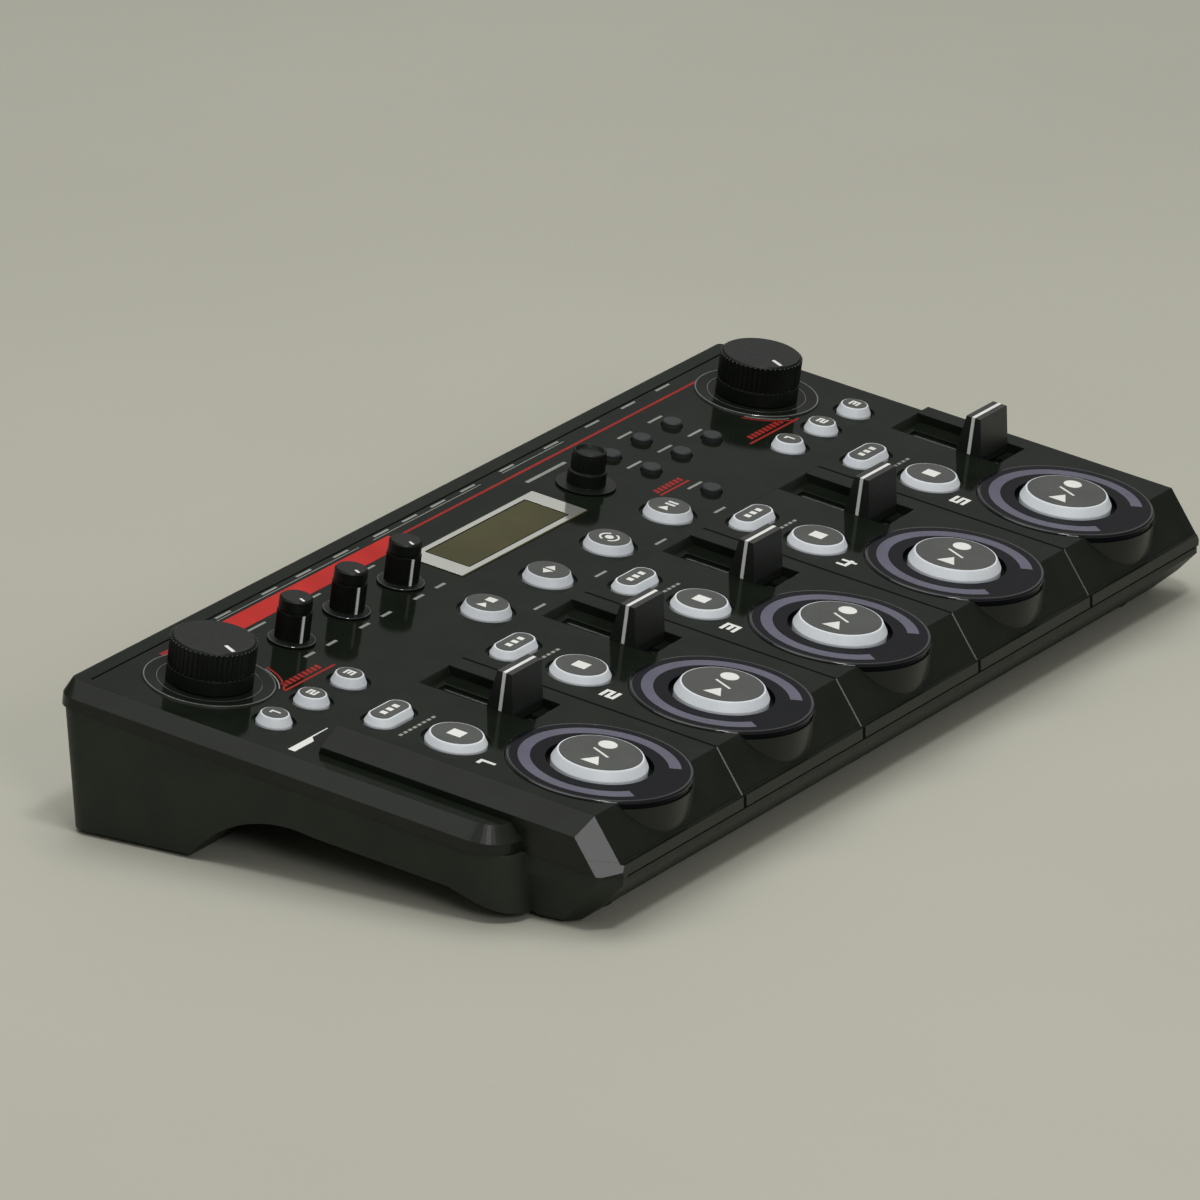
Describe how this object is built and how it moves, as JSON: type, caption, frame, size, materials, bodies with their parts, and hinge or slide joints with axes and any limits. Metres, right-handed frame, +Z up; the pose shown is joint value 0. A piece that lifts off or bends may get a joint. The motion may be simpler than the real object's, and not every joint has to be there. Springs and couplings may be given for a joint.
{
  "type": "loop station",
  "caption": "Table-top audio looper: sloped case with a raised block of tracks, each with ring-lit pad, keys and fader, above a deck of knobs, keys, display and rear sockets.",
  "frame": {"origin": "middle of the footprint on the table, under the rubber feet", "axes": "+X to the right of the player, +Y to the back with the sockets, +Z up"},
  "size_m": [0.42, 0.2, 0.0651],
  "materials": {
    "case_black": "fine satin moulding",
    "lens_smoke": "smoked, polished",
    "arc_grey": "frosted light guide, unlit",
    "white_key": "milky translucent",
    "fader_black": "satin",
    "slate_key": "satin",
    "knob_black": "satin",
    "window": "clear with a pale printed frame",
    "lcd": "unlit reflective display",
    "board_green": "solder resist",
    "pot_metal": "stamped",
    "jack_nickel": "nickel plated",
    "socket_black": "satin",
    "foot_rubber": "matt",
    "screw_steel": "zinc plated"
  },
  "bodies": {
    "chassis": {"top_case": "case_black", "track_block": "case_black", "bottom_case": "case_black", "base_plate": "case_black", "rear_panel": "case_black", "ring_lenses": "lens_smoke", "ring_diffusers": "arc_grey", "display_window": "window", "lcd_module": "lcd", "circuit_boards": "board_green", "pots": "pot_metal", "audio_jacks": "jack_nickel", "mic_socket": "socket_black", "small_sockets": "socket_black", "rubber_feet": "foot_rubber", "case_screws": "screw_steel"},
    "rec_button_1": {"rec_button_1": "white_key"},
    "rec_button_2": {"rec_button_2": "white_key"},
    "rec_button_3": {"rec_button_3": "white_key"},
    "rec_button_4": {"rec_button_4": "white_key"},
    "rec_button_5": {"rec_button_5": "white_key"},
    "stop_button_1": {"stop_button_1": "white_key"},
    "stop_button_2": {"stop_button_2": "white_key"},
    "stop_button_3": {"stop_button_3": "white_key"},
    "stop_button_4": {"stop_button_4": "white_key"},
    "stop_button_5": {"stop_button_5": "white_key"},
    "edit_button_1": {"edit_button_1": "white_key"},
    "edit_button_2": {"edit_button_2": "white_key"},
    "edit_button_3": {"edit_button_3": "white_key"},
    "edit_button_4": {"edit_button_4": "white_key"},
    "edit_button_5": {"edit_button_5": "white_key"},
    "fader_knob_1": {"fader_knob_1": "fader_black"},
    "fader_knob_2": {"fader_knob_2": "fader_black"},
    "fader_knob_3": {"fader_knob_3": "fader_black"},
    "fader_knob_4": {"fader_knob_4": "fader_black"},
    "fader_knob_5": {"fader_knob_5": "fader_black"},
    "all_start_button": {"all_start_button": "white_key"},
    "undo_button": {"undo_button": "white_key"},
    "tap_button": {"tap_button": "white_key"},
    "rhythm_button": {"rhythm_button": "white_key"},
    "input_fx_button_1": {"input_fx_button_1": "white_key"},
    "input_fx_button_2": {"input_fx_button_2": "white_key"},
    "input_fx_button_3": {"input_fx_button_3": "white_key"},
    "track_fx_button_1": {"track_fx_button_1": "white_key"},
    "track_fx_button_2": {"track_fx_button_2": "white_key"},
    "track_fx_button_3": {"track_fx_button_3": "white_key"},
    "menu_button_1": {"menu_button_1": "slate_key"},
    "menu_button_2": {"menu_button_2": "slate_key"},
    "menu_button_3": {"menu_button_3": "slate_key"},
    "menu_button_4": {"menu_button_4": "slate_key"},
    "menu_button_5": {"menu_button_5": "slate_key"},
    "menu_button_6": {"menu_button_6": "slate_key"},
    "menu_button_7": {"menu_button_7": "slate_key"},
    "value_knob": {"value_knob": "knob_black"},
    "level_knob_1": {"level_knob_1": "knob_black"},
    "level_knob_2": {"level_knob_2": "knob_black"},
    "level_knob_3": {"level_knob_3": "knob_black"},
    "input_fx_knob": {"input_fx_knob": "knob_black"},
    "track_fx_knob": {"track_fx_knob": "knob_black"},
    "power_switch": {"power_switch": "socket_black"}
  },
  "joints": [
    {"name": "rec_button_1_press", "type": "slide", "parent": "chassis", "child": "rec_button_1", "axis": [0, 0.1253, -0.9921], "range_m": [0, 0.0015], "stiffness_N_per_m": 900, "springref_m": -0.0006},
    {"name": "rec_button_2_press", "type": "slide", "parent": "chassis", "child": "rec_button_2", "axis": [0, 0.1253, -0.9921], "range_m": [0, 0.0015], "stiffness_N_per_m": 900, "springref_m": -0.0006},
    {"name": "rec_button_3_press", "type": "slide", "parent": "chassis", "child": "rec_button_3", "axis": [0, 0.1253, -0.9921], "range_m": [0, 0.0015], "stiffness_N_per_m": 900, "springref_m": -0.0006},
    {"name": "rec_button_4_press", "type": "slide", "parent": "chassis", "child": "rec_button_4", "axis": [0, 0.1253, -0.9921], "range_m": [0, 0.0015], "stiffness_N_per_m": 900, "springref_m": -0.0006},
    {"name": "rec_button_5_press", "type": "slide", "parent": "chassis", "child": "rec_button_5", "axis": [0, 0.1253, -0.9921], "range_m": [0, 0.0015], "stiffness_N_per_m": 900, "springref_m": -0.0006},
    {"name": "stop_button_1_press", "type": "slide", "parent": "chassis", "child": "stop_button_1", "axis": [0, 0.1253, -0.9921], "range_m": [0, 0.0008], "stiffness_N_per_m": 600, "springref_m": -0.0006},
    {"name": "stop_button_2_press", "type": "slide", "parent": "chassis", "child": "stop_button_2", "axis": [0, 0.1253, -0.9921], "range_m": [0, 0.0008], "stiffness_N_per_m": 600, "springref_m": -0.0006},
    {"name": "stop_button_3_press", "type": "slide", "parent": "chassis", "child": "stop_button_3", "axis": [0, 0.1253, -0.9921], "range_m": [0, 0.0008], "stiffness_N_per_m": 600, "springref_m": -0.0006},
    {"name": "stop_button_4_press", "type": "slide", "parent": "chassis", "child": "stop_button_4", "axis": [0, 0.1253, -0.9921], "range_m": [0, 0.0008], "stiffness_N_per_m": 600, "springref_m": -0.0006},
    {"name": "stop_button_5_press", "type": "slide", "parent": "chassis", "child": "stop_button_5", "axis": [0, 0.1253, -0.9921], "range_m": [0, 0.0008], "stiffness_N_per_m": 600, "springref_m": -0.0006},
    {"name": "edit_button_1_press", "type": "slide", "parent": "chassis", "child": "edit_button_1", "axis": [0, 0.1253, -0.9921], "range_m": [0, 0.0008], "stiffness_N_per_m": 600, "springref_m": -0.0006},
    {"name": "edit_button_2_press", "type": "slide", "parent": "chassis", "child": "edit_button_2", "axis": [0, 0.1253, -0.9921], "range_m": [0, 0.0008], "stiffness_N_per_m": 600, "springref_m": -0.0006},
    {"name": "edit_button_3_press", "type": "slide", "parent": "chassis", "child": "edit_button_3", "axis": [0, 0.1253, -0.9921], "range_m": [0, 0.0008], "stiffness_N_per_m": 600, "springref_m": -0.0006},
    {"name": "edit_button_4_press", "type": "slide", "parent": "chassis", "child": "edit_button_4", "axis": [0, 0.1253, -0.9921], "range_m": [0, 0.0008], "stiffness_N_per_m": 600, "springref_m": -0.0006},
    {"name": "edit_button_5_press", "type": "slide", "parent": "chassis", "child": "edit_button_5", "axis": [0, 0.1253, -0.9921], "range_m": [0, 0.0008], "stiffness_N_per_m": 600, "springref_m": -0.0006},
    {"name": "fader_1_slide", "type": "slide", "parent": "chassis", "child": "fader_knob_1", "axis": [0, 0.9921, 0.1253], "range_m": [-0.0062, 0.0238]},
    {"name": "fader_2_slide", "type": "slide", "parent": "chassis", "child": "fader_knob_2", "axis": [0, 0.9921, 0.1253], "range_m": [-0.0062, 0.0238]},
    {"name": "fader_3_slide", "type": "slide", "parent": "chassis", "child": "fader_knob_3", "axis": [0, 0.9921, 0.1253], "range_m": [-0.0062, 0.0238]},
    {"name": "fader_4_slide", "type": "slide", "parent": "chassis", "child": "fader_knob_4", "axis": [0, 0.9921, 0.1253], "range_m": [-0.0062, 0.0238]},
    {"name": "fader_5_slide", "type": "slide", "parent": "chassis", "child": "fader_knob_5", "axis": [0, 0.9921, 0.1253], "range_m": [-0.0062, 0.0238]},
    {"name": "all_start_button_press", "type": "slide", "parent": "chassis", "child": "all_start_button", "axis": [0, 0.1253, -0.9921], "range_m": [0, 0.0008], "stiffness_N_per_m": 600, "springref_m": -0.0006},
    {"name": "undo_button_press", "type": "slide", "parent": "chassis", "child": "undo_button", "axis": [0, 0.1253, -0.9921], "range_m": [0, 0.0008], "stiffness_N_per_m": 600, "springref_m": -0.0006},
    {"name": "tap_button_press", "type": "slide", "parent": "chassis", "child": "tap_button", "axis": [0, 0.1253, -0.9921], "range_m": [0, 0.0008], "stiffness_N_per_m": 600, "springref_m": -0.0006},
    {"name": "rhythm_button_press", "type": "slide", "parent": "chassis", "child": "rhythm_button", "axis": [0, 0.1253, -0.9921], "range_m": [0, 0.0008], "stiffness_N_per_m": 600, "springref_m": -0.0006},
    {"name": "input_fx_button_1_press", "type": "slide", "parent": "chassis", "child": "input_fx_button_1", "axis": [0, 0.1253, -0.9921], "range_m": [0, 0.0008], "stiffness_N_per_m": 500, "springref_m": -0.0006},
    {"name": "input_fx_button_2_press", "type": "slide", "parent": "chassis", "child": "input_fx_button_2", "axis": [0, 0.1253, -0.9921], "range_m": [0, 0.0008], "stiffness_N_per_m": 500, "springref_m": -0.0006},
    {"name": "input_fx_button_3_press", "type": "slide", "parent": "chassis", "child": "input_fx_button_3", "axis": [0, 0.1253, -0.9921], "range_m": [0, 0.0008], "stiffness_N_per_m": 500, "springref_m": -0.0006},
    {"name": "track_fx_button_1_press", "type": "slide", "parent": "chassis", "child": "track_fx_button_1", "axis": [0, 0.1253, -0.9921], "range_m": [0, 0.0008], "stiffness_N_per_m": 500, "springref_m": -0.0006},
    {"name": "track_fx_button_2_press", "type": "slide", "parent": "chassis", "child": "track_fx_button_2", "axis": [0, 0.1253, -0.9921], "range_m": [0, 0.0008], "stiffness_N_per_m": 500, "springref_m": -0.0006},
    {"name": "track_fx_button_3_press", "type": "slide", "parent": "chassis", "child": "track_fx_button_3", "axis": [0, 0.1253, -0.9921], "range_m": [0, 0.0008], "stiffness_N_per_m": 500, "springref_m": -0.0006},
    {"name": "menu_button_1_press", "type": "slide", "parent": "chassis", "child": "menu_button_1", "axis": [0, 0.1253, -0.9921], "range_m": [0, 0.0008], "stiffness_N_per_m": 300, "springref_m": -0.0006},
    {"name": "menu_button_2_press", "type": "slide", "parent": "chassis", "child": "menu_button_2", "axis": [0, 0.1253, -0.9921], "range_m": [0, 0.0008], "stiffness_N_per_m": 300, "springref_m": -0.0006},
    {"name": "menu_button_3_press", "type": "slide", "parent": "chassis", "child": "menu_button_3", "axis": [0, 0.1253, -0.9921], "range_m": [0, 0.0008], "stiffness_N_per_m": 300, "springref_m": -0.0006},
    {"name": "menu_button_4_press", "type": "slide", "parent": "chassis", "child": "menu_button_4", "axis": [0, 0.1253, -0.9921], "range_m": [0, 0.0008], "stiffness_N_per_m": 300, "springref_m": -0.0006},
    {"name": "menu_button_5_press", "type": "slide", "parent": "chassis", "child": "menu_button_5", "axis": [0, 0.1253, -0.9921], "range_m": [0, 0.0008], "stiffness_N_per_m": 300, "springref_m": -0.0006},
    {"name": "menu_button_6_press", "type": "slide", "parent": "chassis", "child": "menu_button_6", "axis": [0, 0.1253, -0.9921], "range_m": [0, 0.0008], "stiffness_N_per_m": 300, "springref_m": -0.0006},
    {"name": "menu_button_7_press", "type": "slide", "parent": "chassis", "child": "menu_button_7", "axis": [0, 0.1253, -0.9921], "range_m": [0, 0.0008], "stiffness_N_per_m": 300, "springref_m": -0.0006},
    {"name": "value_knob_turn", "type": "hinge", "parent": "chassis", "child": "value_knob", "pos_m": [0.059, 0.06333, 0.04819], "axis": [0, 0.1253, -0.9921], "continuous": true},
    {"name": "level_knob_1_turn", "type": "hinge", "parent": "chassis", "child": "level_knob_1", "pos_m": [-0.1267, 0.06293, 0.04814], "axis": [0, 0.1253, -0.9921], "range_deg": [0, 300]},
    {"name": "level_knob_2_turn", "type": "hinge", "parent": "chassis", "child": "level_knob_2", "pos_m": [-0.0932, 0.06293, 0.04814], "axis": [0, 0.1253, -0.9921], "range_deg": [0, 300]},
    {"name": "level_knob_3_turn", "type": "hinge", "parent": "chassis", "child": "level_knob_3", "pos_m": [-0.0597, 0.06293, 0.04814], "axis": [0, 0.1253, -0.9921], "range_deg": [0, 300]},
    {"name": "input_fx_knob_turn", "type": "hinge", "parent": "chassis", "child": "input_fx_knob", "pos_m": [-0.1742, 0.06402, 0.04827], "axis": [0, 0.1253, -0.9921], "range_deg": [0, 300]},
    {"name": "track_fx_knob_turn", "type": "hinge", "parent": "chassis", "child": "track_fx_knob", "pos_m": [0.1742, 0.06402, 0.04827], "axis": [0, 0.1253, -0.9921], "range_deg": [0, 300]},
    {"name": "power_switch_slide", "type": "slide", "parent": "chassis", "child": "power_switch", "axis": [1, 0, 0], "range_m": [0, 0.0035]}
  ]
}
